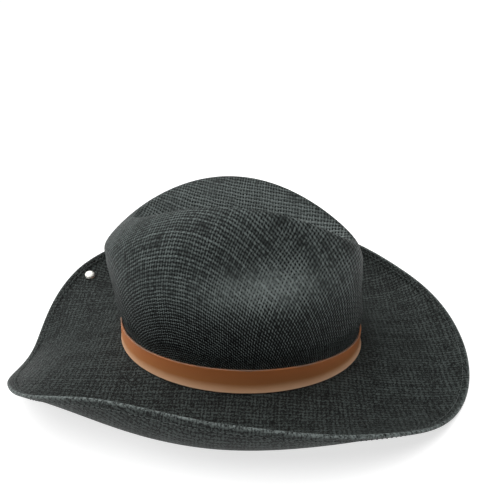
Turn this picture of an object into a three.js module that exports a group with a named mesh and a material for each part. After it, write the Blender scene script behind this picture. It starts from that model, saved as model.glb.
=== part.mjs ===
// A bush hat of woven paper straw with a leather band, lying on its brim. Millimetres.
// +X is the front of the hat, +Z is up, and the origin is on the surface that the hat lies on,
// under the middle of its outline. The hat is shaped in its own frame, where z = 0 is the
// headline, and is then settled onto the surface, front down, on three places of the brim.
import * as THREE from 'three';
import { ParametricGeometry } from 'three/addons/geometries/ParametricGeometry.js';
import { mergeVertices } from 'three/addons/utils/BufferGeometryUtils.js';

// Driving dimensions.
const straw = 1.4;          // thickness of the woven body
const clearance = 0.3;      // between pieces that touch
const head = { halfLength: 98.1, halfWidth: 83.2, egg: 0.025 };   // outside of the body at the band
const seamHeight = 10;      // the crown meets the brim's collar here, under the band
const rootRadius = 1.8;     // where the collar turns into the brim
const leather = { thick: 1.5, low: 1.3, high: 20.3, edgeRound: 0.4 };
const hem = { width: 7, extra: 0.6, round: 0.9 };     // the brim's edge, turned under and sewn
const stud = { angle: 152, share: 0.85, radius: 5, rim: 0.9, dome: 1.6, lift: 0.4 };
const frontDown = THREE.MathUtils.degToRad(5.1);      // how far the headline leans forward
const sink = 0.6;           // how far the brim is pressed flat where it rests

// The crown, in rows from the seam up to the ridge and down into the dent on top. Height is
// where the row passes the hat's middle, follow is how much of the ridge's fall it takes,
// front, back and half are its reach, egg is how much narrower its front is, and pinch is
// how far it takes part in the side dents.
const crownRows = [
  { height: 10.3, follow: 0.00, front: 98.1, back: -98.1, half: 83.2, egg: 0.025, pinch: 0.0 },
  { height: 22.0, follow: 0.00, front: 98.1, back: -98.1, half: 83.2, egg: 0.025, pinch: 0.0 },
  { height: 49.5, follow: 0.40, front: 98.0, back: -102.5, half: 83.0, egg: 0.035, pinch: 0.8 },
  { height: 76.5, follow: 0.62, front: 96.5, back: -106.5, half: 77.5, egg: 0.060, pinch: 1.0 },
  { height: 99.0, follow: 0.80, front: 95.5, back: -109.5, half: 68.0, egg: 0.100, pinch: 1.0 },
  { height: 115.3, follow: 0.93, front: 94.0, back: -109.0, half: 54.0, egg: 0.140, pinch: 0.8 },
  { height: 124.3, follow: 1.00, front: 88.0, back: -90.0, half: 40.0, egg: 0.170, pinch: 0.3 },
  { height: 119.0, follow: 1.00, front: 80.0, back: -82.0, half: 31.0, egg: 0.170, pinch: 0.0 },
  { height: 107.0, follow: 1.00, front: 68.0, back: -72.0, half: 23.5, egg: 0.160, pinch: 0.0 },
  { height: 97.0, follow: 1.00, front: 52.0, back: -58.0, half: 16.5, egg: 0.120, pinch: 0.0 },
  { height: 91.5, follow: 1.00, front: 28.0, back: -36.0, half: 9.0, egg: 0.060, pinch: 0.0 },
  { height: 90.0, follow: 1.00, front: -4.0, back: -4.0, half: 0.0, egg: 0.000, pinch: 0.0 },
];
const ridgeFall = { lean: 6.9, bow: 38.0 };   // of the ridge, at 100 mm in front of the middle
const sideDent = { x: 24, height: 88, long: 46, tall: 27, deep: 13, fade: 25 };

// The brim, in rows 30 degrees apart from the front, towards the hat's left side first. Width is
// measured along the cloth, and the two slopes are at the band and at the edge, in degrees.
const brimRows = [
  { width: 85.5, rootSlope: -3.6, edgeSlope: 19 },
  { width: 91.0, rootSlope: -11.5, edgeSlope: 65 },
  { width: 92.5, rootSlope: -4.1, edgeSlope: 85 },
  { width: 91.0, rootSlope: -10.3, edgeSlope: 93 },
  { width: 90.5, rootSlope: -10.1, edgeSlope: 83 },
  { width: 90.7, rootSlope: -6.9, edgeSlope: 38 },
  { width: 89.0, rootSlope: -14.7, edgeSlope: -31 },
  { width: 89.7, rootSlope: -12.0, edgeSlope: 19 },
  { width: 93.4, rootSlope: -20.4, edgeSlope: 101 },
  { width: 93.7, rootSlope: -18.2, edgeSlope: 99 },
  { width: 91.4, rootSlope: -9.5, edgeSlope: 58 },
  { width: 88.2, rootSlope: -5.8, edgeSlope: 14 },
];
const curlPower = 1.72;     // above 1, the slope changes mostly near the edge

// How finely the solids are cut.
const facets = { around: 64, crownOutside: 19, crownInside: 14, brimAcross: 8, studAround: 16, studDome: 3 };

const straws = new THREE.MeshStandardMaterial({ color: '#2a2f30', roughness: 0.75, metalness: 0 });
const brownLeather = new THREE.MeshStandardMaterial({ color: '#7a4a2b', roughness: 0.45, metalness: 0 });
const nickel = new THREE.MeshStandardMaterial({ color: '#b9bcbd', roughness: 0.3, metalness: 1 });

// A smooth blend of four values in a row, from the second to the third.
function smooth(before, from, to, after, share) {
  const slopeIn = (to - before) / 2;
  const slopeOut = (after - from) / 2;
  const square = share * share;
  const cube = square * share;
  return from * (2 * cube - 3 * square + 1) + to * (3 * square - 2 * cube)
    + slopeIn * (cube - 2 * square + share) + slopeOut * (cube - square);
}

// The row of a table at a place between its rows, with the table closed into a ring or open.
function rowAt(rows, place, closed) {
  const last = rows.length - 1;
  const first = closed ? Math.floor(place) : Math.min(Math.floor(place), last - 1);
  const share = place - first;
  const value = (index, column) => {
    if (closed) return rows[(index + rows.length) % rows.length][column];
    if (index < 0) return 2 * rows[0][column] - rows[1][column];
    if (index > last) return 2 * rows[last][column] - rows[last - 1][column];
    return rows[index][column];
  };
  const row = {};
  for (const column of Object.keys(rows[0])) {
    const values = [-1, 0, 1, 2].map((step) => value(first + step, column));
    row[column] = smooth(...values, share);
  }
  return row;
}

// A point of the egg-shaped headline, and the way out from it.
function headline(angle) {
  const { halfLength, halfWidth, egg } = head;
  const cos = Math.cos(angle);
  const sin = Math.sin(angle);
  const alongX = -halfLength * sin;
  const alongY = halfWidth * (cos * (1 - egg * cos) + egg * sin * sin);
  return {
    point: new THREE.Vector2(halfLength * cos, halfWidth * sin * (1 - egg * cos)),
    outward: new THREE.Vector2(alongY, -alongX).normalize(),
  };
}

// A point at a distance out from the headline, and at a height above it.
function fromHeadline(angle, out, height) {
  const { point, outward } = headline(angle);
  return new THREE.Vector3(point.x + outward.x * out, point.y + outward.y * out, height);
}

// Leans the hat forward, lowers it onto the surface and flattens what would go below it.
function settle(point, rest) {
  const leaned = point.clone().applyAxisAngle(new THREE.Vector3(0, 1, 0), frontDown);
  leaned.z = Math.max(0, leaned.z - rest);
  return leaned;
}

// The outside of the crown. Level runs from 0 at the seam to 1 in the middle of the dent.
function crownOutside(level, angle) {
  const row = rowAt(crownRows, level * (crownRows.length - 1), false);
  const cos = Math.cos(angle);
  const x = (row.front + row.back) / 2 + (row.front - row.back) / 2 * cos;
  const y = row.half * Math.sin(angle) * (1 - row.egg * cos);
  const fall = ridgeFall.lean * x / 100 + ridgeFall.bow * (x / 100) ** 2;
  const z = row.height - row.follow * fall;
  const nearDent = ((x - sideDent.x) / sideDent.long) ** 2 + ((z - sideDent.height) / sideDent.tall) ** 2;
  const inward = sideDent.deep * row.pinch * Math.exp(-nearDent) * Math.tanh(y / sideDent.fade);
  return new THREE.Vector3(x, y - inward, z);
}

// The inside of the crown: the outside, moved in by the thickness of the straw.
function crownInside(level, angle) {
  const step = 0.002;
  const outside = crownOutside(level, angle);
  if (level > 1 - step) return outside.add(new THREE.Vector3(0, 0, -straw));
  const around = crownOutside(level, angle + step).sub(crownOutside(level, angle - step));
  const upward = crownOutside(level + step, angle).sub(crownOutside(Math.max(0, level - step), angle));
  return outside.addScaledVector(around.cross(upward).normalize(), -straw);
}

// A place across the brim, as a share of its width: how far out and how high its upper face
// is there, and how steep. The slope is added up in short steps from the band.
function brimAcross(angle, share) {
  const degrees = THREE.MathUtils.radToDeg(angle);
  const row = rowAt(brimRows, degrees / 360 * brimRows.length, true);
  const slopeAt = (part) => THREE.MathUtils.degToRad(
    row.rootSlope + (row.edgeSlope - row.rootSlope) * part ** curlPower,
  );
  const steps = 48;
  const length = row.width * share / steps;
  const place = { out: rootRadius, height: 0, slope: slopeAt(share), width: row.width };
  for (let step = 0; step < steps; step += 1) {
    const slope = slopeAt(share * (step + 0.5) / steps);
    place.out += length * Math.cos(slope);
    place.height += length * Math.sin(slope);
  }
  return place;
}

// The closed outline of the brim's section at an angle: up the outside of the collar, across
// the upper face to the hem, round the edge, and back under to the inside of the collar.
function brimSection(angle) {
  const upper = [];
  const lower = [];
  const add = (place, above, below) => {
    const rise = new THREE.Vector2(-Math.sin(place.slope), Math.cos(place.slope));
    upper.push(new THREE.Vector2(place.out, place.height).addScaledVector(rise, above));
    lower.push(new THREE.Vector2(place.out, place.height).addScaledVector(rise, -below));
  };
  const turn = { steps: 2, inner: rootRadius, outer: rootRadius + straw };
  upper.push(new THREE.Vector2(0, seamHeight));
  lower.push(new THREE.Vector2(-straw, seamHeight));
  for (let step = 0; step < turn.steps; step += 1) {
    const arc = Math.PI / 2 * step / turn.steps;
    const towards = new THREE.Vector2(-Math.cos(arc), -Math.sin(arc));
    const centre = new THREE.Vector2(rootRadius, rootRadius);
    upper.push(centre.clone().addScaledVector(towards, turn.inner));
    lower.push(centre.clone().addScaledVector(towards, turn.outer));
  }
  const { width } = brimAcross(angle, 0);
  const hemStart = 1 - hem.width / width;
  for (let step = 0; step <= facets.brimAcross; step += 1) {
    add(brimAcross(angle, hemStart * step / facets.brimAcross), 0, straw);
  }
  add(brimAcross(angle, hemStart + hem.extra / width), hem.extra, straw + hem.extra);
  add(brimAcross(angle, 1 - hem.round / width), hem.extra, straw + hem.extra);
  add(brimAcross(angle, 1), hem.extra - hem.round, straw + hem.extra - hem.round);
  return [...upper, ...lower.reverse()];
}

// A closed solid from a surface that runs once around the hat and once along its section.
function closedSolid(surface, aroundSteps, alongSteps) {
  const grid = new ParametricGeometry((u, v, target) => {
    target.copy(surface((1 - u) * Math.PI * 2, Math.round(v * alongSteps)));
  }, aroundSteps, alongSteps);
  grid.deleteAttribute('normal');
  grid.deleteAttribute('uv');
  const merged = mergeVertices(grid, 1e-4);
  const corners = merged.getIndex().array;
  const kept = [];
  for (let corner = 0; corner < corners.length; corner += 3) {
    const [a, b, c] = corners.slice(corner, corner + 3);
    if (a !== b && b !== c && c !== a) kept.push(a, b, c);
  }
  merged.setIndex(kept);
  merged.computeVertexNormals();
  return merged;
}

// The lowest that the brim reaches below the headline once it leans, less what is pressed flat.
function restingHeight() {
  let lowest = Infinity;
  for (let step = 0; step < facets.around; step += 1) {
    const angle = Math.PI * 2 * step / facets.around;
    for (const place of brimSection(angle)) {
      const point = fromHeadline(angle, place.x, place.y);
      point.applyAxisAngle(new THREE.Vector3(0, 1, 0), frontDown);
      lowest = Math.min(lowest, point.z);
    }
  }
  return lowest + sink;
}
const rest = restingHeight();

function makeCrown() {
  const { around, crownOutside: outside, crownInside: inside } = facets;
  const surface = (angle, step) => {
    const point = step <= outside
      ? crownOutside(1 - step / outside, angle)
      : crownInside((step - outside - 1) / inside, angle);
    return settle(point, rest);
  };
  return closedSolid(surface, around, outside + inside + 1);
}

function makeBrim() {
  const sections = new Map();
  const surface = (angle, step) => {
    if (!sections.has(angle)) sections.set(angle, brimSection(angle));
    const section = sections.get(angle);
    const place = section[step % section.length];
    return settle(fromHeadline(angle, place.x, place.y), rest);
  };
  return closedSolid(surface, facets.around, brimSection(0).length);
}

// The band: a strap of leather with eased edges, closed into a ring round the seam.
function makeBand() {
  const { thick, low, high, edgeRound } = leather;
  const inner = clearance;
  const outer = clearance + thick;
  const section = [
    [inner, low], [inner, high], [outer - edgeRound, high], [outer, high - edgeRound],
    [outer, low + edgeRound], [outer - edgeRound, low],
  ];
  const surface = (angle, step) => {
    const [out, height] = section[step % section.length];
    return settle(fromHeadline(angle, out, height), rest);
  };
  return closedSolid(surface, facets.around, section.length);
}

// A plain domed stud, set square on the upper face of the brim near the edge.
function makeStud() {
  const profile = [new THREE.Vector2(0, 0), new THREE.Vector2(stud.radius, 0)];
  for (let step = 0; step < facets.studDome; step += 1) {
    const arc = Math.PI / 2 * step / facets.studDome;
    const height = stud.rim + stud.dome * Math.sin(arc);
    profile.push(new THREE.Vector2(stud.radius * Math.cos(arc), height));
  }
  profile.push(new THREE.Vector2(0, stud.rim + stud.dome));
  const turned = new THREE.LatheGeometry(profile, facets.studAround);
  turned.rotateX(Math.PI / 2);
  const angle = THREE.MathUtils.degToRad(stud.angle);
  const at = (share, turn) => {
    const place = brimAcross(angle + turn, share);
    return settle(fromHeadline(angle + turn, place.out, place.height), rest);
  };
  const near = 0.02;
  const seat = at(stud.share, 0);
  const across = at(stud.share + near, 0).sub(at(stud.share - near, 0));
  const along = at(stud.share, near).sub(at(stud.share, -near));
  const facing = across.cross(along).normalize();
  const mesh = new THREE.Mesh(turned, nickel);
  mesh.quaternion.setFromUnitVectors(new THREE.Vector3(0, 0, 1), facing);
  mesh.position.copy(seat).addScaledVector(facing, stud.lift);
  return mesh;
}

const hat = new THREE.Group();
const pieces = {
  crown: new THREE.Mesh(makeCrown(), straws),
  brim: new THREE.Mesh(makeBrim(), straws),
  hat_band: new THREE.Mesh(makeBand(), brownLeather),
  brim_stud: makeStud(),
};
for (const [name, mesh] of Object.entries(pieces)) {
  mesh.name = name;
  hat.add(mesh);
}

// The origin goes under the middle of the outline.
const middle = new THREE.Box3().setFromObject(hat).getCenter(new THREE.Vector3());
hat.position.set(-middle.x, -middle.y, 0);

export default hat;
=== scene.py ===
"""A bush hat of black paper straw with a brown leather band, lying on its brim on a pale floor."""
import math

import bmesh
import bpy
import numpy as np
from mathutils import Matrix, Quaternion, Vector


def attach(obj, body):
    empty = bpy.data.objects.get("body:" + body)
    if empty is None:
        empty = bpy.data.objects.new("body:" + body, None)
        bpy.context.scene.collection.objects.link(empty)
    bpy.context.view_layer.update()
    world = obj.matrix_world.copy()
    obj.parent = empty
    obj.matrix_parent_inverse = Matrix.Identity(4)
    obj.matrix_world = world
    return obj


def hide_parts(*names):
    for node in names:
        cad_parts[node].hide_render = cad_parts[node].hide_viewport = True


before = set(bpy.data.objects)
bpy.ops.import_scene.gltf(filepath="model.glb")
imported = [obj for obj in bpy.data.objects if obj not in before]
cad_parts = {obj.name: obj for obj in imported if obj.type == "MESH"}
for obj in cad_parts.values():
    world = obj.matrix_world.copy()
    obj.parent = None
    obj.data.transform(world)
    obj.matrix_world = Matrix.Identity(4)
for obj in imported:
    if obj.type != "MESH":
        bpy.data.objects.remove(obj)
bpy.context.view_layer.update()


# The crown. Black paper straw, woven flat as an open plain weave, steamed and pulled over a
# block with a long dent on top and a pinch on each side, then stiffened with a thin varnish.
# It comes down inside the leather band, where the brim goes on from it.
STRAW_THICK = 1.4
LEAN = math.radians(5.1)
LIFT = 15.775
MIDDLE = (0.270, 0.811)
crown_rows = {
    "height": [10.3, 22.0, 49.5, 76.5, 99.0, 115.3, 124.3, 119.0, 107.0, 97.0, 91.5, 90.0],
    "follow": [0.00, 0.00, 0.40, 0.62, 0.80, 0.93, 1.00, 1.00, 1.00, 1.00, 1.00, 1.00],
    "front": [98.1, 98.1, 98.0, 96.5, 95.5, 94.0, 88.0, 80.0, 68.0, 52.0, 28.0, -4.0],
    "back": [-98.1, -98.1, -102.5, -106.5, -109.5, -109.0, -90.0, -82.0, -72.0, -58.0, -36.0, -4.0],
    "half": [83.2, 83.2, 83.0, 77.5, 68.0, 54.0, 40.0, 31.0, 23.5, 16.5, 9.0, 0.0],
    "egg": [0.025, 0.025, 0.035, 0.060, 0.100, 0.140, 0.170, 0.170, 0.160, 0.120, 0.060, 0.000],
    "pinch": [0.0, 0.0, 0.8, 1.0, 1.0, 0.8, 0.3, 0.0, 0.0, 0.0, 0.0, 0.0],
}
ridge_fall = {"lean": 6.9, "bow": 38.0}
side_dent = {"x": 24, "height": 88, "long": 46, "tall": 27, "deep": 13, "fade": 25}
over_band = {"height": 31, "tall": 8, "swell": 1.3}


def drawn_through(column, place, ring):
    """The values of a table's column at places between its rows, on a smooth curve."""
    values = np.array(column, float)
    if ring:
        first = np.floor(place).astype(int) % len(values)
        values = np.concatenate([values[-1:], values, values[:2]])
    else:
        first = np.clip(np.floor(place).astype(int), 0, len(values) - 2)
        values = np.concatenate([[2 * values[0] - values[1]], values, [2 * values[-1] - values[-2]]])
    part = place - np.floor(place) if ring else place - first
    before, start, end, after = [values[first + step] for step in range(4)]
    curve = start * (2 * part**3 - 3 * part**2 + 1) + end * (3 * part**2 - 2 * part**3)
    curve += (end - before) / 2 * (part**3 - 2 * part**2 + part)
    return curve + (after - start) / 2 * (part**3 - part**2)


def crown_face(level, angle):
    """The crown's outside, in mm from the headline: level is 0 at the band and 1 in the dent."""
    place = level * (len(crown_rows["height"]) - 1)
    row = {name: drawn_through(column, place, False) for name, column in crown_rows.items()}
    x = (row["front"] + row["back"]) / 2 + (row["front"] - row["back"]) / 2 * np.cos(angle)
    y = row["half"] * np.sin(angle) * (1 - row["egg"] * np.cos(angle))
    fall = ridge_fall["lean"] * x / 100 + ridge_fall["bow"] * (x / 100) ** 2
    z = row["height"] - row["follow"] * fall
    away = ((x - side_dent["x"]) / side_dent["long"]) ** 2
    away += ((z - side_dent["height"]) / side_dent["tall"]) ** 2
    y -= side_dent["deep"] * row["pinch"] * np.exp(-away) * np.tanh(y / side_dent["fade"])
    swell = over_band["swell"] * np.exp(-((z - over_band["height"]) / over_band["tall"]) ** 2)
    return np.stack([x + swell * np.cos(angle), y + swell * np.sin(angle), z], -1)


def laid_down(points):
    """Leans the hat onto its front, stands it on the floor, and goes from mm to metres."""
    x = points[..., 0] * math.cos(LEAN) + points[..., 2] * math.sin(LEAN) + MIDDLE[0]
    z = points[..., 2] * math.cos(LEAN) - points[..., 0] * math.sin(LEAN) + LIFT
    return np.stack([x, points[..., 1] + MIDDLE[1], np.maximum(z, 0)], -1) / 1000


def draped(name, places, threads, wear_and_painted_light):
    """A smooth skin through a grid of places, closed where its edges meet, with its threads."""
    around, along = places.shape[0] - 1, places.shape[1] - 1
    bm = bmesh.new()
    bmesh.ops.create_grid(bm, x_segments=around, y_segments=along, size=1)
    spot = {}
    for vert in bm.verts:
        spot[vert] = (round((vert.co.x + 1) / 2 * around), round((vert.co.y + 1) / 2 * along))
    thread_map = bm.loops.layers.uv.new("threads")
    wear_and_light_map = bm.loops.layers.uv.new("wear_and_painted_light")
    for face in bm.faces:
        face.smooth = True
        for corner in face.loops:
            corner[thread_map].uv = threads[spot[corner.vert]]
            corner[wear_and_light_map].uv = wear_and_painted_light[spot[corner.vert]]
    for vert, here in spot.items():
        vert.co = places[here]
    bmesh.ops.remove_doubles(bm, verts=bm.verts, dist=1e-6)
    bmesh.ops.recalc_face_normals(bm, faces=bm.faces)
    mesh = bpy.data.meshes.new(name)
    bm.to_mesh(mesh)
    bm.free()
    skin = bpy.data.objects.new(name, mesh)
    bpy.context.collection.objects.link(skin)
    return skin


def crown_threads(places):
    """Where each place lies in the flat cloth, counted in threads each way from the dent."""
    along = np.gradient(places[..., :2], axis=0)
    along[[0, -1]] = places[1, :, :2] - places[-2, :, :2]
    along = along[:, :-1] / np.linalg.norm(along[:, :-1], axis=-1)[..., None]
    outward = np.stack([along[..., 1], -along[..., 0]], -1)
    step = places[:, :-1] - places[:, 1:]
    slip = (step[..., :2] * along).sum(-1)
    fall = np.sqrt(np.maximum((step**2).sum(-1) - slip**2, 0))
    flat = slip[..., None] * along + fall[..., None] * outward
    flat = np.cumsum(flat[:, ::-1], axis=1)[:, ::-1]
    x, y = np.moveaxis(np.concatenate([flat, 0 * flat[:, :1]], 1) / 100, -1, 0)
    # Here x and y are in 100 mm, and the cloth has 43.2 warp threads and 36.2 weft threads in that.
    # It runs nearly straight over the hat's left half and is pulled aslant over its right half.
    left, right = np.maximum(y, 0), np.minimum(y, 0)
    warp = 43.2 * x - 1.2 * x**2 - 1.1 * x**3 - 4.4 * left
    warp += right * (14.4 * right + 6.5 * right**2 - 5.4 * x**2)
    weft = 5.6 * x - 1.3 * x**2 - 0.4 * x**3 + 36.2 * left
    weft += right * (34.2 - 10.4 * x - 2.8 * x**2 + (7.3 - 1.3 * x) * right + 4.2 * right**2)
    return np.stack([warp, weft], -1)


angles = np.linspace(0, 2 * math.pi, 321)
levels = np.linspace(0, 1, 111)
crown_grid = crown_face(*np.meshgrid(levels, angles))
# Painted highlight: the thread tops are painted lighter on the lower lips of the pinches, whose gaps
# are narrowed there so they show less dark, and in the dent on top. Just over the band the straw is
# drawn open, so its threads stand further apart and its dark gaps widen there as painted shade.
pinch_lip = {"x": 20, "long": 42, "height": 75, "tall": 12, "highlight_and_wear": 0.6, "closed": 0.2}
dent_highlight = {"level": 0.7, "wide": 0.09, "highlight_and_wear": 0.8}
drawn = {"height": 38, "tall": 20, "open": 0.6}
lip = -((crown_grid[..., 0] - pinch_lip["x"]) / pinch_lip["long"]) ** 2
lip = np.exp(lip - ((crown_grid[..., 2] - pinch_lip["height"]) / pinch_lip["tall"]) ** 2)
lip *= levels < 0.5
highlight_and_wear = dent_highlight["highlight_and_wear"] * np.exp(-((levels - dent_highlight["level"]) / dent_highlight["wide"]) ** 2)
highlight_and_wear = pinch_lip["highlight_and_wear"] * lip + highlight_and_wear
open_and_painted_shade = drawn["open"] * np.exp(-((crown_grid[..., 2] - drawn["height"]) / drawn["tall"]) ** 2)
crown_highlight_and_shade = np.stack([highlight_and_wear, open_and_painted_shade - pinch_lip["closed"] * lip], -1)
crown = draped("crown_straw", laid_down(crown_grid), crown_threads(crown_grid), crown_highlight_and_shade)
wall = crown.modifiers.new("wall", "SOLIDIFY")
wall.thickness = STRAW_THICK / 1000
wall.offset = -1


def paint(hex_value):
    """An sRGB colour as the linear one that shaders work in."""
    parts = [int(hex_value[i:i + 2], 16) / 255 for i in (1, 3, 5)]
    return [p / 12.92 if p <= 0.04045 else ((p + 0.055) / 1.055) ** 2.4 for p in parts] + [1]


def node(tree, kind, inputs=None, **settings):
    """Adds a node with its settings, and fills its inputs with numbers or other nodes."""
    made = tree.nodes.new("ShaderNode" + kind)
    for name, value in settings.items():
        setattr(made, name, value)
    for name, value in (inputs or {}).items():
        if isinstance(value, bpy.types.Node):
            value = value.outputs[0]
        if isinstance(value, bpy.types.NodeSocket):
            tree.links.new(value, made.inputs[name])
        else:
            made.inputs[name].default_value = value
    return made


def plain_weave(tree, warp, weft, widths, loose, swing):
    """Height of a plain weave, 0 in a gap and 1 where weft crosses over, and each thread's shade."""
    heights, shades = [], []
    # The weft is the tighter thread and rises a little more. Threads that swing far sink in.
    ways = ((warp, weft, 1, widths[0], 0.69), (weft, warp, -1, widths[1], 0.77))
    sink = -0.42
    for across, along, side, width, rise in ways:
        thread = node(tree, "Math", {0: across}, operation="FLOOR")
        part = node(tree, "Math", {0: across}, operation="FRACT")
        off = node(tree, "Math", {0: part, 1: 2 / width, 2: -1 / width}, operation="MULTIPLY_ADD")
        apart = node(tree, "Math", {0: off, 1: loose}, operation="MULTIPLY")
        square = node(tree, "Math", {0: apart, 1: apart}, operation="MULTIPLY")
        left = node(tree, "Math", {0: 1.0, 1: square}, operation="SUBTRACT", use_clamp=True)
        section = node(tree, "Math", {0: left}, operation="SQRT")
        turn = node(tree, "Math", {0: thread, 1: math.pi}, operation="MULTIPLY")
        first = node(tree, "Math", {0: turn}, operation="COSINE")
        run = node(tree, "Math", {0: along, 1: math.pi}, operation="MULTIPLY")
        wave = node(tree, "Math", {0: run}, operation="SINE")
        over = node(tree, "Math", {0: first, 1: wave}, operation="MULTIPLY")
        swung = node(tree, "Math", {0: over, 1: swing}, operation="MULTIPLY")
        seated = node(tree, "Math", {0: swing, 1: sink, 2: rise}, operation="MULTIPLY_ADD")
        lifted = node(tree, "Math", {0: swung, 1: side, 2: seated}, operation="MULTIPLY_ADD")
        heights.append(node(tree, "Math", {0: section, 1: lifted}, operation="MULTIPLY"))
        # Warp and weft take their shades from different numbers.
        number = node(tree, "Math", {0: thread, 1: 500 * side}, operation="ADD")
        shades.append(node(tree, "TexWhiteNoise", {"W": number}, noise_dimensions="1D"))
    height = node(tree, "Math", {0: heights[0], 1: heights[1]}, operation="MAXIMUM")
    top = node(tree, "Math", {0: heights[0], 1: heights[1]}, operation="GREATER_THAN")
    shade = node(tree, "Mix", {"Factor": top, 2: shades[1], 3: shades[0]}, data_type="FLOAT")
    return height, shade


def paper_straw(name, widths, relief, grain, tones):
    """Twisted paper straw, dyed black and varnished: satin threads, with painted shade in the gaps
    between.

    Widths are shares of the thread spacing for warp and weft, and relief is the bump in mm.
    Grain is the scale and strength of the dye's fine unevenness. Tones follow the weave's height and
    paint its light and shade: a gap painted near black, a thread's flank painted darker, its top
    painted lighter, and its top lighter still where the wear map paints a highlight or marks wear.
    """
    material = bpy.data.materials.new(name)
    material.use_nodes = True
    tree = material.node_tree
    shader = tree.nodes["Principled BSDF"]
    threads = node(tree, "UVMap", uv_map="threads")
    place = node(tree, "TexCoord")
    # Threads wander by a fifth of their spacing, over 20 mm and again over 6 mm.
    wander = node(tree, "TexNoise", {"Vector": place.outputs["Object"], "Scale": 50.0, "Detail": 3.0,
                                     "Roughness": 0.75})
    half = (0.5, 0.5, 0.5)
    centred = node(tree, "VectorMath", {0: wander.outputs["Color"], 1: half}, operation="SUBTRACT")
    pushed = node(tree, "VectorMath", {0: centred, "Scale": 1.3}, operation="SCALE")
    laid = node(tree, "VectorMath", {0: threads, 1: pushed}, operation="ADD")
    pair = node(tree, "SeparateXYZ", {0: laid})
    # The cloth is looser in some places than in others, over some 15 mm.
    pull = node(tree, "TexNoise", {"Vector": place.outputs["Object"], "Scale": 70.0, "Detail": 2.0})
    loose = node(tree, "MapRange", {0: pull, 1: 0.3, 2: 0.7, 3: 0.86, 4: 1.18})
    wear_and_painted_light = node(tree, "SeparateXYZ", {0: node(tree, "UVMap", uv_map="wear_and_painted_light")})
    # Where it is drawn open, its threads are thinner and swing further up and down, so the wider dark gaps
    # paint shade there.
    looser = node(tree, "Math", {0: loose, 1: wear_and_painted_light.outputs[1]}, operation="ADD")
    swing = node(tree, "Math", {0: wear_and_painted_light.outputs[1], 1: 0.8, 2: 0.27}, operation="MULTIPLY_ADD")
    height, shade = plain_weave(tree, pair.outputs[0], pair.outputs[1], widths, looser, swing)
    # The dye took unevenly: by the thread, in clouds of some 15 mm, and in fine specks.
    scale, strength = grain
    uneven = node(tree, "TexNoise", {"Vector": place.outputs["Object"], "Scale": scale, "Detail": 3.0})
    mixed = node(tree, "Math", {0: shade, 1: 0.4, 2: -0.2}, operation="MULTIPLY_ADD")
    rough = node(tree, "Math", {0: uneven, 1: strength, 2: -strength / 2}, operation="MULTIPLY_ADD")
    clouded = node(tree, "Math", {0: pull, 1: 1.0, 2: -0.5}, operation="MULTIPLY_ADD")
    tinted = node(tree, "Math", {0: mixed, 1: clouded}, operation="ADD")
    spread = node(tree, "Math", {0: tinted, 1: rough}, operation="ADD")
    scaled = node(tree, "Math", {0: spread, 1: height}, operation="MULTIPLY")
    level = node(tree, "Math", {0: height, 1: scaled}, operation="ADD", use_clamp=True)
    # The ramp over the weave's height is painted shade in the gaps and on the flanks, and painted
    # highlight on the thread tops.
    ramp = node(tree, "ValToRGB", {"Fac": level})
    stops = ramp.color_ramp.elements
    stops[0].position, stops[0].color = 0.2, paint(tones[0])
    stops[1].position, stops[1].color = 1.0, paint(tones[2])
    middle = stops.new(0.5)
    middle.color = paint(tones[1])
    # The first wear channel paints the thread tops lighter: a painted highlight on the crown's pinch lips
    # and dent, and on the brim's turned edge partly wear and partly a painted highlight.
    share = node(tree, "Math", {0: wear_and_painted_light, 1: level}, operation="MULTIPLY", use_clamp=True)
    colour = node(tree, "Mix", {"Factor": share, 6: ramp, 7: paint(tones[3])}, data_type="RGBA")
    tree.links.new(colour.outputs[2], shader.inputs["Base Color"])
    bump = node(tree, "Bump", {"Height": level, "Distance": relief / 1000, "Strength": 1.0})
    tree.links.new(bump.outputs["Normal"], shader.inputs["Normal"])
    gloss = node(tree, "MapRange", {0: uneven, 1: 0.3, 2: 0.7, 3: 0.45, 4: 0.65})
    tree.links.new(gloss.outputs[0], shader.inputs["Roughness"])
    shader.inputs["IOR"].default_value = 1.5
    shader.inputs["Specular IOR Level"].default_value = 0.12
    return material


# On the crown the specks of dye are 3 mm across.
crown.data.materials.append(paper_straw(
    "paper_straw_open_weave", widths=(0.77, 0.71), relief=0.9, grain=(300, 1.3),
    tones=("#030404", "#272c2b", "#5e6664", "#818987")
))
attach(crown, "root")
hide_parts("crown")


# The brim. The same straw, pulled out flat from the crown and rolled up along both sides, so
# that the hat rests on its front and on the tip of its back. Its edge is turned under by 7 mm
# and sewn down. It is pressed closer than the crown, so its rows show as fine ribs.
head = {"half_length": 98.1, "half_width": 83.2, "egg": 0.025}
SEAM_HEIGHT = 10.25
ROOT_RADIUS = 1.8
CURL_POWER = 1.72
# Along the turned edge the thread tops are painted lighter: partly wear, partly a painted highlight where
# the fold catches light.
hem = {"width": 7.0, "extra": 0.6, "roll": 1.3, "worn_in": 1.2, "highlight_and_wear": 0.8}
hem_rows = {
    "in_from_edge": [6.8, 6.5, 6.1, 5.7, 5.4, 5.1, 4.8, 4.5, 4.1, 3.5, 2.8, 2.1],
    "bulge": [0.15, 0.42, 0.60, 0.52, 0.36, 0.25, 0.36, 0.52, 0.62, 0.66, 0.66, 0.62],
}
brim_rows = {
    "width": [85.5, 91.0, 92.5, 91.0, 90.5, 90.7, 89.0, 89.7, 93.4, 93.7, 91.4, 88.2],
    "root": [-3.6, -11.5, -4.1, -10.3, -10.1, -6.9, -14.7, -12.0, -20.4, -18.2, -9.5, -5.8],
    "edge": [19, 65, 85, 93, 83, 38, -31, 19, 101, 99, 58, 14],
}
STEPS = 240


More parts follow.
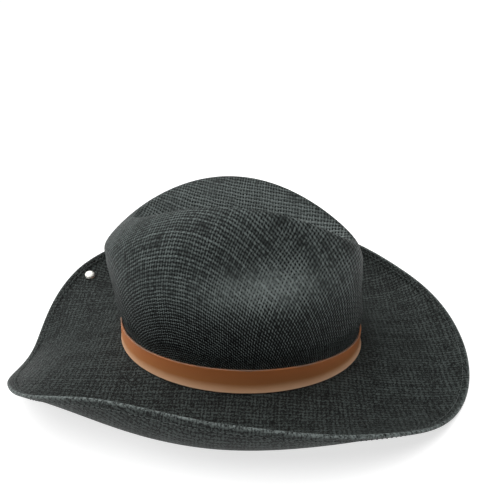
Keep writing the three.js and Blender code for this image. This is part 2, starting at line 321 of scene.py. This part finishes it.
def from_headline(angle, out, height):
    """Points at a distance out from the egg-shaped headline, and at a height above it."""
    cos, sin = np.cos(angle), np.sin(angle)
    along_x = -head["half_length"] * sin
    along_y = head["half_width"] * (cos * (1 - head["egg"] * cos) + head["egg"] * sin * sin)
    size = np.hypot(along_x, along_y)
    x = head["half_length"] * cos + out * along_y / size
    y = head["half_width"] * sin * (1 - head["egg"] * cos) - out * along_x / size
    return np.stack(np.broadcast_arrays(x, y, height), -1)


def brim_run(angle):
    """The brim's upper face from the band to the edge: its width, and its way in short steps."""
    place = angle / (2 * math.pi) * len(brim_rows["width"])
    row = {name: drawn_through(column, place, True) for name, column in brim_rows.items()}
    middles = (np.arange(STEPS) + 0.5) / STEPS
    slope = np.radians(row["root"] + (row["edge"] - row["root"]) * middles**CURL_POWER)
    stride = row["width"] / STEPS
    out = np.concatenate([[0], np.cumsum(np.cos(slope))]) * stride + ROOT_RADIUS
    height = np.concatenate([[0], np.cumsum(np.sin(slope))]) * stride
    return row, out, height


def brim_at(angle, share, above):
    """Points at shares of the brim's width from the band, raised above its upper face."""
    row, out, height = brim_run(angle)
    slope = np.radians(row["root"] + (row["edge"] - row["root"]) * share**CURL_POWER)
    places = np.linspace(0, 1, STEPS + 1)
    run_out = np.interp(share, places, out) - above * np.sin(slope)
    run_up = np.interp(share, places, height) + above * np.cos(slope)
    return from_headline(angle, run_out, run_up)


def brim_section(angle):
    """The closed section at an angle, each point's place in the flat cloth, and how much its edge is
    lightened by wear and a painted highlight.
    """
    row = brim_run(angle)[0]
    width = row["width"]
    turned = 1 - hem["width"] / width
    rise = np.linspace(SEAM_HEIGHT, ROOT_RADIUS, 6)[:-1]
    arc = np.linspace(0, math.pi / 2, 7)[:-1]
    flat = np.linspace(0, turned, 41)
    half = STRAW_THICK / 2 + hem["extra"]
    roll = np.linspace(0, math.pi / 2, 7)
    in_from_edge = np.concatenate([hem_rows["in_from_edge"], hem["roll"] * (1 - np.sin(roll))])
    bulge = np.concatenate([hem_rows["bulge"], half * np.cos(roll) - STRAW_THICK / 2])
    share = np.concatenate([flat, 1 - in_from_edge / width])
    above = np.concatenate([0 * flat, bulge])
    upper = brim_at(angle, share, above)
    lower = brim_at(angle, share, -STRAW_THICK - above)
    collars = []
    for radius, back in ((ROOT_RADIUS, 0.0), (ROOT_RADIUS + STRAW_THICK, -STRAW_THICK)):
        straight = from_headline(angle, back, rise)
        out, height = ROOT_RADIUS - radius * np.cos(arc), ROOT_RADIUS - radius * np.sin(arc)
        collars.append(np.concatenate([straight, from_headline(angle, out, height)]))
    loop = np.concatenate([collars[0], upper, lower[-2::-1], collars[1][::-1], collars[0][:1]])
    cloth = np.concatenate([-rise, -ROOT_RADIUS + ROOT_RADIUS * arc, share * width])
    cloth = np.concatenate([cloth, cloth[-2::-1], cloth[:1]])
    # The edge's lightening, partly wear and partly painted highlight, fades out inward from the edge.
    worn_and_highlit = np.exp(-((width - cloth) / hem["worn_in"]) ** 2)
    return loop, from_headline(angle, cloth, 0)[:, :2], worn_and_highlit


# The cloth runs straight through the brim. Its warp threads lie 2.4 mm apart by the band, and are
# drawn apart to 3.75 mm at the front and at the back. Its weft threads lie 3 mm apart.
spacing = {"warp": 3.75, "weft": 3.0, "gathered": 10.5, "over": 70}
sections = [brim_section(angle) for angle in np.linspace(0, 2 * math.pi, 433)]
brim_grid, brim_cloth, edge_wear_and_highlight = [np.stack(part) for part in zip(*sections)]
gathered = spacing["gathered"] * np.tanh(brim_cloth[..., 0] / spacing["over"])
warp = brim_cloth[..., 0] / spacing["warp"] + gathered
weft = brim_cloth[..., 1] / spacing["weft"]
brim_wear_and_highlight = np.stack([hem["highlight_and_wear"] * edge_wear_and_highlight, 0 * edge_wear_and_highlight], -1)
brim = draped("brim_straw", laid_down(brim_grid), np.stack([warp, weft], -1), brim_wear_and_highlight)
# On the brim they are 1.1 mm across, and strong, because the straw is pressed and scuffed.
brim.data.materials.append(paper_straw(
    "paper_straw_pressed_weave", widths=(0.95, 0.93), relief=0.6, grain=(900, 4.6),
    tones=("#050606", "#1c1f1e", "#3e4442", "#757d7b")
))
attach(brim, "root")
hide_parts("brim")


# The hem's stitching. Dark polyester thread, run by machine through the turned edge: it comes
# up and dives again every 3.9 mm along a shallow groove, on both faces of the brim.
sewing = bpy.data.materials.new("polyester_thread")
sewing.use_nodes = True
tree = sewing.node_tree
shader = tree.nodes["Principled BSDF"]
plies = node(tree, "UVMap", uv_map="threads")
# The diagonal light and dark stripes along the twist are painted shade and highlight of the plies.
ply_shade_stripes = node(tree, "TexWave", {"Vector": plies, "Scale": 0.5, "Distortion": 1.0}, bands_direction="DIAGONAL")
ramp = node(tree, "ValToRGB", {"Fac": ply_shade_stripes.outputs["Fac"]})
ramp.color_ramp.elements[0].color = paint("#1b1f1e")
ramp.color_ramp.elements[1].color = paint("#4f5654")
tree.links.new(ramp.outputs["Color"], shader.inputs["Base Color"])
shader.inputs["Roughness"].default_value = 0.5

stitch = {"pitch": 3.9, "thick": 0.6, "in_from_edge": 5.1, "proud": 0.05, "swing": 0.45, "steps": 8}
seat = np.interp(-stitch["in_from_edge"], -np.array(hem_rows["in_from_edge"]), hem_rows["bulge"])
ring = np.linspace(0, 2 * math.pi, 1201)
for name, face, side in (("hem_thread_above", 0.0, 1), ("hem_thread_below", -STRAW_THICK, -1)):
    spots = []
    for angle in ring:
        share = np.full(2, 1 - stitch["in_from_edge"] / brim_run(angle)[0]["width"])
        spots.append(brim_at(angle, share, face + side * np.array([seat, seat + 1])))
    spots = np.array(spots)
    run = np.concatenate([[0], np.cumsum(np.linalg.norm(np.diff(spots[:, 0], axis=0), axis=1))])
    count = round(run[-1] / stitch["pitch"])
    steps = np.linspace(0, run[-1], count * stitch["steps"] + 1)
    foot, tip = [np.stack([np.interp(steps, run, spots[:, row, axis]) for axis in range(3)], -1)
                 for row in (0, 1)]
    out = tip - foot
    lift = stitch["proud"] + stitch["swing"] * np.cos(2 * math.pi * count * steps / run[-1])
    beside = np.cross(out, np.gradient(foot, axis=0))
    beside /= np.linalg.norm(beside, axis=1)[:, None]
    turn = np.linspace(0, 2 * math.pi, 7)[:, None, None]
    tube = np.cos(turn) * out + np.sin(turn) * beside
    tube = foot + out * lift[:, None] + stitch["thick"] / 2 * tube
    plies = np.stack(np.broadcast_arrays(turn[..., 0], steps), -1)
    thread = draped(name, laid_down(tube), plies, 0 * plies)
    thread.data.materials.append(sewing)
    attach(thread, "root")


# The band. A strap of smooth brown cowhide, 19 mm wide and 1.3 mm thick, cut with a bare edge
# and closed into a ring that grips the straw over the turn from crown to brim. Its lower edge
# stands off the straw, and most at the front.
leather = {"thick": 1.3, "low": 0.15, "high": 19.6, "edge": 0.4, "gap": 0.2, "front_dip": 0.19,
           "back_dip": 0.15}
flare = {"out": 1.5, "tall": 7.0, "side": 0.75, "front": 0.45}
corner = np.linspace(0, math.pi / 2, 5)
outer = leather["gap"] + leather["thick"]
outs, ups = [], []
for centre_up, way in ((leather["low"] + leather["edge"], -1), (leather["high"] - leather["edge"], 1)):
    turned_out = outer - leather["edge"] + leather["edge"] * np.cos(corner)
    turned_up = centre_up + way * leather["edge"] * np.sin(corner)
    order = slice(None, None, -1) if way < 0 else slice(None)
    outs.append(turned_out[order])
    ups.append(turned_up[order])
face_up = np.linspace(leather["low"] + leather["edge"], leather["high"] - leather["edge"], 18)[1:-1]
face_out = np.full(len(face_up), outer)
back_up = np.concatenate([[leather["high"]], face_up[::-1], [leather["low"]]])
back_out = np.full(len(back_up), leather["gap"])
band_out = np.concatenate([outs[0], face_out, outs[1], back_out, outs[0][:1]])
band_up = np.concatenate([ups[0], face_up, ups[1], back_up, ups[0][:1]])
flared = flare["out"] * np.maximum(1 - (band_up - leather["low"]) / flare["tall"], 0) ** 2
ring = np.linspace(0, 2 * math.pi, 289)
band_grid = []
for angle in ring:
    dip = leather["front_dip" if math.cos(angle) > 0 else "back_dip"] * math.cos(angle) ** 2
    out = band_out + flared * (flare["side"] + flare["front"] * math.cos(angle))
    band_grid.append(from_headline(angle, out, leather["low"] + (band_up - leather["low"]) * (1 - dip)))
band_grid = np.stack(band_grid)
strides = np.linalg.norm(np.diff(band_grid[:, 0], axis=0), axis=1)
strap_length = np.concatenate([[0], np.cumsum(strides)])
band_map = np.stack(np.broadcast_arrays(strap_length[:, None], band_up[None, :]), -1)
band = draped("leather_band", laid_down(band_grid), band_map, 0 * band_map)

# Finished hide is satin, with pores under 1 mm. Its tan is painted lightest low down, a painted
# sheen where the strap flares outward, and it is greyest along the cut at the top.
hide = bpy.data.materials.new("cowhide_smooth_brown")
hide.use_nodes = True
tree = hide.node_tree
shader = tree.nodes["Principled BSDF"]
along = node(tree, "UVMap", uv_map="threads")
split = node(tree, "SeparateXYZ", {0: along})
place = node(tree, "TexCoord")
cloud = node(tree, "TexNoise", {"Vector": place.outputs["Object"], "Scale": 38.0, "Detail": 3.0})
shifted = node(tree, "Math", {0: cloud, 1: 3.0, 2: -1.5}, operation="MULTIPLY_ADD")
height = node(tree, "Math", {0: split.outputs[1], 1: shifted}, operation="ADD")
share = node(tree, "MapRange", {0: height, 1: leather["low"], 2: leather["high"]})
ramp = node(tree, "ValToRGB", {"Fac": share})
stops = ramp.color_ramp.elements
# The light stops low down are a painted sheen.
stops[0].position, stops[0].color = 0.0, paint("#e6ba98")
stops[1].position, stops[1].color = 1.0, paint("#8a6b59")
tans = ((0.24, "#dca57a"), (0.42, "#c67f4b"), (0.80, "#c37744"), (0.97, "#bd7342"))
for position, tone in tans:
    stops.new(position).color = paint(tone)
grain = node(tree, "TexVoronoi", {"Vector": place.outputs["Object"], "Scale": 1300.0},
             feature="DISTANCE_TO_EDGE")
pores = node(tree, "TexNoise", {"Vector": place.outputs["Object"], "Scale": 700.0, "Detail": 4.0})
rough = node(tree, "Math", {0: grain.outputs["Distance"], 1: 0.6, 2: pores}, operation="MULTIPLY_ADD")
bump = node(tree, "Bump", {"Height": rough, "Distance": 0.00012, "Strength": 0.6})
# Painted shadow: the strap's lowest 0.6 mm, along its lower cut edge, is painted dark where it meets the
# brim.
shadow_painted_up = leather["low"] + 0.6
face = node(tree, "MapRange", {0: split.outputs[1], 1: shadow_painted_up, 2: shadow_painted_up + 0.3})
colour = node(tree, "Mix", {"Factor": face, 6: paint("#23170f"), 7: ramp}, data_type="RGBA")
tree.links.new(colour.outputs[2], shader.inputs["Base Color"])
tree.links.new(bump.outputs["Normal"], shader.inputs["Normal"])
shader.inputs["Roughness"].default_value = 0.42
band.data.materials.append(hide)
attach(band, "root")
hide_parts("hat_band")


# The stud. A plain domed cap of nickel-plated brass, pressed through the brim near the edge on
# the hat's left at the back, as an ornament.
stud = {"angle": 152, "share": 0.85, "radius": 4.7, "dome": 1.55, "dome_foot": 0.95}
angle = math.radians(stud["angle"])
aside = 0.02
around = [laid_down(brim_at(angle + turn, np.array([stud["share"] + out]), 0.0))[0]
          for turn, out in ((0, 0), (0, aside), (0, -aside), (aside, 0), (-aside, 0))]
facing = Vector(np.cross(around[1] - around[2], around[3] - around[4])).normalized()
bm = bmesh.new()
# From the shank's foot in the straw, out along the seat and round the rolled rim, to the dome.
profile = [(0, -0.6), (3.2, -0.6), (3.2, 0.0), (4.7, 0.0), (5.0, 0.25), (5.0, 0.7), (4.85, 0.95)]
for arc in np.linspace(0.15, math.pi / 2, 9):
    profile.append((stud["radius"] * math.cos(arc), stud["dome_foot"] + stud["dome"] * math.sin(arc)))
points = [bm.verts.new((radius / 1000 if radius > 1e-9 else 0, 0, up / 1000)) for radius, up in profile]
edges = [bm.edges.new(pair) for pair in zip(points, points[1:])]
bmesh.ops.spin(bm, geom=points + edges, cent=(0, 0, 0), axis=(0, 0, 1), angle=2 * math.pi,
               steps=40, use_merge=True)
bmesh.ops.remove_doubles(bm, verts=bm.verts, dist=1e-6)
bmesh.ops.recalc_face_normals(bm, faces=bm.faces)
for face in bm.faces:
    face.smooth = True
seat = Matrix.Translation(Vector(around[0])) @ facing.to_track_quat("Z", "Y").to_matrix().to_4x4()
bmesh.ops.transform(bm, matrix=seat, verts=bm.verts)
stud_mesh = bpy.data.meshes.new("brim_cap")
bm.to_mesh(stud_mesh)
bm.free()
cap = bpy.data.objects.new("brim_cap", stud_mesh)
bpy.context.collection.objects.link(cap)

# Nickel plate over brass looks a little warm, and fingers dull it in patches of 1 mm.
nickel = bpy.data.materials.new("nickel_plate_satin")
nickel.use_nodes = True
tree = nickel.node_tree
shader = tree.nodes["Principled BSDF"]
place = node(tree, "TexCoord")
wear_and_painted_light = node(tree, "TexNoise", {"Vector": place.outputs["Object"], "Scale": 900.0, "Detail": 3.0})
dull = node(tree, "MapRange", {0: wear_and_painted_light, 1: 0.3, 2: 0.7, 3: 0.34, 4: 0.5})
tone = node(tree, "ValToRGB", {"Fac": wear_and_painted_light})
tone.color_ramp.elements[0].color = paint("#b9b8b2")
tone.color_ramp.elements[1].color = paint("#d6d5cf")
tree.links.new(dull.outputs[0], shader.inputs["Roughness"])
tree.links.new(tone.outputs["Color"], shader.inputs["Base Color"])
shader.inputs["Metallic"].default_value = 1.0
cap.data.materials.append(nickel)
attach(cap, "root")
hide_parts("brim_stud")


# The floor: a wide sheet of pale studio paper that glows a little by itself, painted light, so that
# the shadow on it stays faint and the paper is white.
bm = bmesh.new()
bmesh.ops.create_grid(bm, x_segments=8, y_segments=8, size=60)
floor_mesh = bpy.data.meshes.new("floor")
bm.to_mesh(floor_mesh)
bm.free()
floor = bpy.data.objects.new("floor", floor_mesh)
bpy.context.collection.objects.link(floor)
paper = bpy.data.materials.new("studio_paper")
paper.use_nodes = True
tree = paper.node_tree
shader = tree.nodes["Principled BSDF"]
place = node(tree, "TexCoord")
fibre = node(tree, "TexNoise", {"Vector": place.outputs["Object"], "Scale": 3.0, "Detail": 2.0})
ramp = node(tree, "ValToRGB", {"Fac": fibre})
ramp.color_ramp.elements[0].color = paint("#bcbcbc")
ramp.color_ramp.elements[1].color = paint("#c0c0c0")
tree.links.new(ramp.outputs["Color"], shader.inputs["Base Color"])
shader.inputs["Roughness"].default_value = 0.9
# The glow is painted light: it fills the shadow on the paper and lights the hat from below.
shader.inputs["Emission Color"].default_value = paint("#ffffff")
shader.inputs["Emission Strength"].default_value = 0.7
floor.data.materials.append(paper)


# The light: one wide soft lamp overhead, 21 degrees towards the hat's back, in a dark room. A
# white wall runs round it, up to 8 degrees above the floor and fading out by 12, so that the
# paper goes over into white.
world = bpy.data.worlds.new("studio")
world.use_nodes = True
tree = world.node_tree
room = tree.nodes["Background"]
look = node(tree, "TexCoord")
way = node(tree, "SeparateXYZ", {0: look.outputs["Generated"]})
rise = node(tree, "Math", {0: way.outputs[2]}, operation="ABSOLUTE")
ramp = node(tree, "ValToRGB", {"Fac": rise})
stops = ramp.color_ramp.elements
stops[0].position, stops[0].color = 0.14, paint("#ffffff")
stops[1].position, stops[1].color = 0.2, paint("#0c0c0c")
tree.links.new(ramp.outputs["Color"], room.inputs["Color"])
room.inputs["Strength"].default_value = 1.05
bpy.context.scene.world = world
light = bpy.data.lights.new("lamp_above", "SUN")
light.angle = math.radians(90)
light.energy = 4.6
lamp = bpy.data.objects.new("lamp_above", light)
lamp.rotation_mode = "QUATERNION"
shining = Vector((0.37, -0.1, -1))
lamp.rotation_quaternion = shining.to_track_quat("-Z", "Y")
bpy.context.collection.objects.link(lamp)


# The camera: 0.48 m from the middle of the hat, on its right side, looking down by 23 degrees
# and rolled by 3.3. Its picture is 500 pixels wide, and its lens 600.48 of them long.
target = Vector((11.849 + MIDDLE[0], MIDDLE[1], 75.425 + LIFT)) / 1000
stand = Vector((43.393 + MIDDLE[0], -439.439 + MIDDLE[1], 263.625 + LIFT)) / 1000
rolled = Quaternion((0, 0, 1), math.radians(-3.292))
camera_data = bpy.data.cameras.new("camera")
camera_data.lens = 36 * 600.48 / 500
camera_data.clip_start = 0.01
camera = bpy.data.objects.new("camera", camera_data)
camera.location = stand
camera.rotation_mode = "QUATERNION"
camera.rotation_quaternion = (target - stand).to_track_quat("-Z", "Y") @ rolled
bpy.context.collection.objects.link(camera)
bpy.context.scene.camera = camera
bpy.context.scene.view_settings.view_transform = "Standard"
